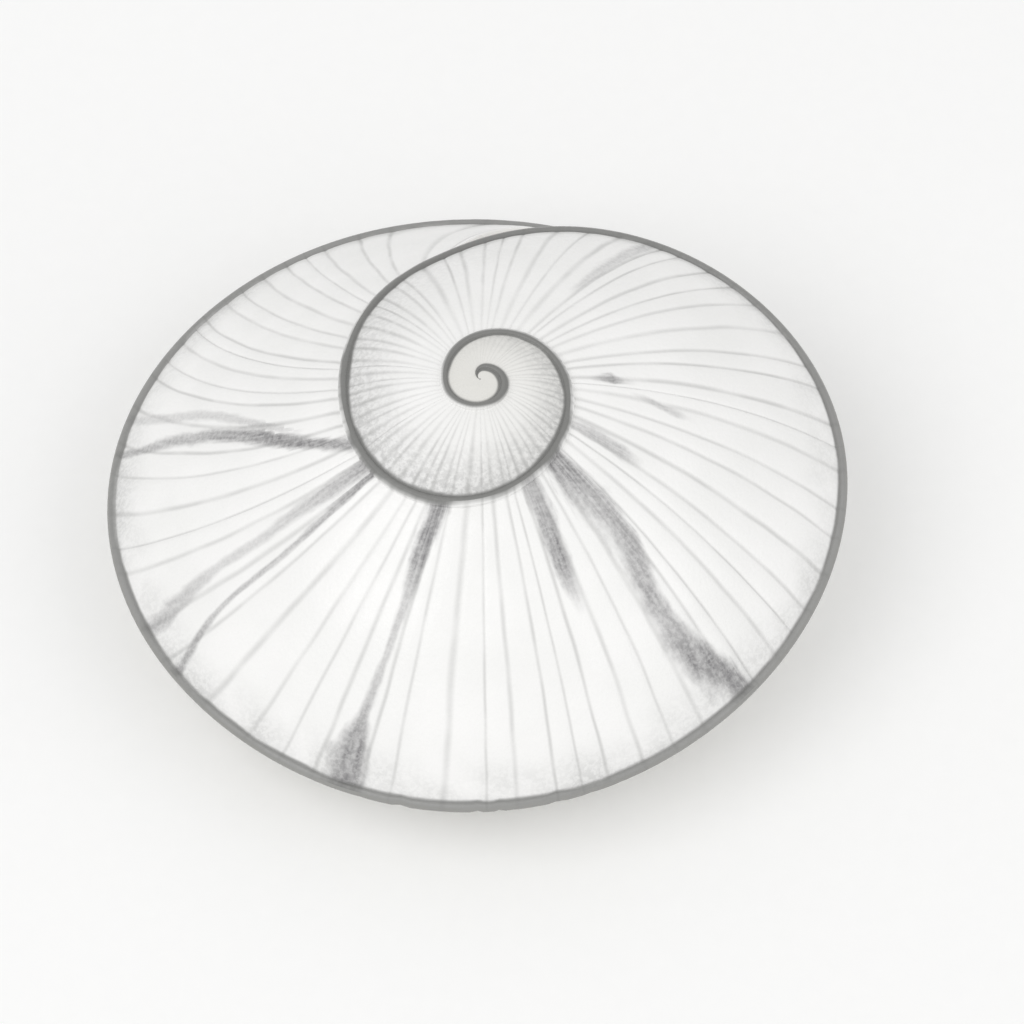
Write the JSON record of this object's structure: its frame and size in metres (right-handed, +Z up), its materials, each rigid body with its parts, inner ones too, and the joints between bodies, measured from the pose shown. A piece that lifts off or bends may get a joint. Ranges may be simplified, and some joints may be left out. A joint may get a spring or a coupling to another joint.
{
  "type": "sundial shell",
  "caption": "Low-domed, keeled spiral sea shell with fine growth ribs, an open mouth beside the last whorl and an open navel in its flattened base.",
  "frame": {"origin": "middle of the shell's footprint, on the surface that its base rests on", "axes": "+Z up along the coil's axis towards the tip; +X the broad way, towards which the mouth opens; +Y to the side where the mouth is"},
  "size_m": [0.0442, 0.042, 0.0207],
  "materials": {
    "shell": "satin, chalky white with grey growth lines and flames"
  },
  "bodies": {
    "root": {"shell": "shell"}
  },
  "joints": []
}
